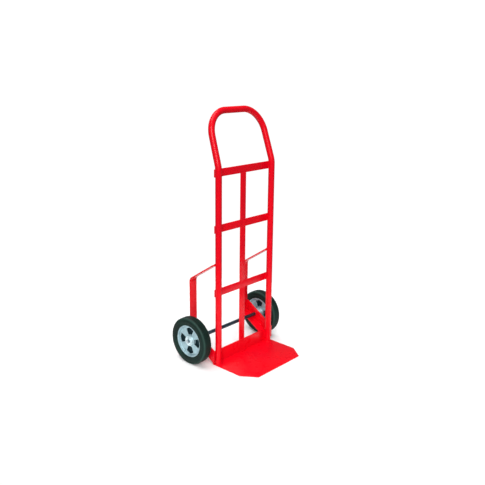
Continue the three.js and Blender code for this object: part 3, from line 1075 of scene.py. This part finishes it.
# %% [markdown]
# Each crossbar is welded to both rails, in the groove on either side of the pipe. The runs are made
# on the right-hand rail only and the mirror inside fuse puts them on the left. The toe plate's
# flange touches the rails in the same way.

# %% Rail welds
GROOVE_OFFSET = 0.0066
GROOVE_DEPTH = 0.0125


def groove_runs(low_z, high_z):
    return [
        weld_run((RAIL_X + offset, GROOVE_DEPTH, low_z), (RAIL_X + offset, GROOVE_DEPTH, high_z))
        for offset in (-GROOVE_OFFSET, GROOVE_OFFSET)
    ]


END_MARGIN = 0.003
rail_runs = []
for bar_node in ("crossbar_top", "crossbar_middle", "crossbar_lower"):
    low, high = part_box(bar_node)
    rail_runs += groove_runs(low.z + END_MARGIN, high.z - END_MARGIN)
rail_runs += groove_runs(PLATE + END_MARGIN, toe_high.z - END_MARGIN)
rail_runs.append(weld_ring((RAIL_X, 0, PLATE + BEAD_INSET), PIPE_RADIUS + BEAD_LIFT, (0, 0, 1), (0, -1, 0)))
fuse("rail_welds", rail_runs)

# %% [markdown]
# The centre straps are butted against the crossbars. These seams are ground nearly flat on the
# front, so the drops are sunk below the surface there, and left as a full bead at the back. At the
# toe flange the bead is heavier, since that joint carries the load.

# %% Centre strap welds
strap_low, strap_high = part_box("center_strap_middle")
FRONT_SUNK = 0.0014
BACK_SUNK = 0.0007
FLANGE_DROP = 0.0030


def seam_runs(height):
    reach = strap_high.x - END_MARGIN / 2
    front = strap_low.y + FRONT_SUNK
    back = strap_high.y - BACK_SUNK
    return [weld_run((-reach, y, height), (reach, y, height)) for y in (front, back)]


seam_heights = []
for strap_node in ("center_strap_upper", "center_strap_middle"):
    low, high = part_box(strap_node)
    seam_heights += [low.z, high.z]
seam_heights.append(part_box("center_strap_lower")[1].z)
strap_runs = []
for seam_height in seam_heights:
    strap_runs += seam_runs(seam_height)
flange_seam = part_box("center_strap_lower")[0].z
flange_end = Vector((strap_high.x - END_MARGIN, strap_low.y + BEAD_REACH, flange_seam))
flange_start = flange_end * Vector((-1, 1, 1))
strap_runs.append(weld_run(flange_start, flange_end, FLANGE_DROP))
fuse("strap_welds", strap_runs)

# %% [markdown]
# The guards are welded above and below where the arm meets the rail and where the foot meets the
# toe flange. The brackets are only stitched to the guard's edge with short runs, and the axle is
# welded round where it comes through the bracket.

# %% Guard and bracket welds
ARM_RUN = 0.010
STITCH = 0.016
STITCH_AT = (0.036, 0.066, 0.126)
slope_way = Vector((0, 1, FOOT_SLOPE)).normalized()


def guard_foot_top(y):
    return guard_low.z + FOOT_SLOPE * (y - toe_high.y - WELD_GAP) + PLATE * math.hypot(1, FOOT_SLOPE)


guard_runs = []
arm_end_y = guard_low.y - BEAD_INSET
arm_under = guard_high.z - PLATE * math.hypot(1, ARM_SLOPE) - BEAD_LIFT
for arm_z in (guard_high.z + BEAD_LIFT, arm_under):
    guard_runs.append(weld_run((RAIL_X - ARM_RUN, arm_end_y, arm_z), (RAIL_X + ARM_RUN, arm_end_y, arm_z)))
foot_end_y = toe_high.y + BEAD_REACH
for foot_z in (guard_foot_top(foot_end_y) + BEAD_LIFT, guard_low.z - 0.0002):
    start = (guard_low.x + 0.002, foot_end_y, foot_z)
    guard_runs.append(weld_run(start, (toe_high.x - 0.002, foot_end_y, foot_z)))
for stitch_y in STITCH_AT:
    centre = Vector((guard_high.x - BEAD_INSET, stitch_y, guard_foot_top(stitch_y) + BEAD_LIFT))
    guard_runs.append(weld_run(centre - slope_way * STITCH / 2, centre + slope_way * STITCH / 2))
bracket_inner = (bracket_low.x - BEAD_LIFT, AXLE_Y, AXLE_Z)
guard_runs.append(weld_ring(bracket_inner, AXLE_RADIUS + BEAD_REACH, (1, 0, 0), (0, 0, 1)))
fuse("guard_welds", guard_runs)

# %% [markdown]
# The stage is a plain pale floor with soft light, as in a product studio. Two wide suns reach the
# whole floor alike, so it meets the white surroundings without a visible line: one overhead, and
# the key from the front left. The floor ends not far beyond the truck and the surroundings light it
# only faintly, though they look white, so the sides of the pipe stay darker than its middle. A
# softbox draws the long highlights down the pipe, and one from behind lifts the back.

# %% Floor, light and surroundings
ROOM_LIGHT = 0.18
ROOM_SEEN = 1.05
FLOOR_WIDTH = 1.6
LIGHTS_AIM = Vector((0, 0, 0.4))


def make_floor():
    deselect()
    bpy.ops.mesh.primitive_plane_add(size=FLOOR_WIDTH)
    floor = bpy.context.object
    floor.name = "studio_floor"
    material, _, shader = new_finish("pale_floor")
    shader.inputs["Base Color"].default_value = (0.97, 0.97, 0.97, 1)
    shader.inputs["Roughness"].default_value = 0.9
    shader.inputs["Specular IOR Level"].default_value = 0.1
    floor.data.materials.append(material)


def softbox(name, place, size, power):
    deselect()
    bpy.ops.object.light_add(type="AREA", location=place)
    light = bpy.context.object
    light.name = name
    light.data.size = size
    light.data.energy = power
    light.rotation_euler = (LIGHTS_AIM - Vector(place)).to_track_quat("-Z", "Y").to_euler()


def soft_sun(name, toward_light, strength, spread):
    """A wide, even light that reaches the whole floor alike."""
    deselect()
    bpy.ops.object.light_add(type="SUN", location=(0, 0, 3))
    light = bpy.context.object
    light.name = name
    light.data.energy = strength
    light.data.angle = spread
    light.rotation_euler = Vector(toward_light).to_track_quat("Z", "Y").to_euler()


def make_surroundings():
    world = bpy.data.worlds.new("pale_studio")
    world.use_nodes = True
    tree = world.node_tree
    background = tree.nodes["Background"]
    background.inputs["Color"].default_value = (1, 1, 1, 1)
    seen = add_node(tree, "LightPath").outputs["Is Camera Ray"]
    put(tree, background.inputs["Strength"], ramp(tree, seen, 0.0, 1.0, ROOM_LIGHT, ROOM_SEEN))
    bpy.context.scene.world = world


make_floor()
soft_sun("overhead_sun", (-0.10, 0.10, 1.0), 1.9, math.radians(50))
soft_sun("key_sun", (-0.80, -0.70, 0.70), 2.3, math.radians(35))
softbox("key_softbox", (-2.2, -2.6, 1.9), 1.2, 10)
softbox("back_softbox", (1.2, 3.0, 2.2), 1.8, 30)
make_surroundings()
bpy.context.scene.view_settings.view_transform = "Standard"
print("stage ready")
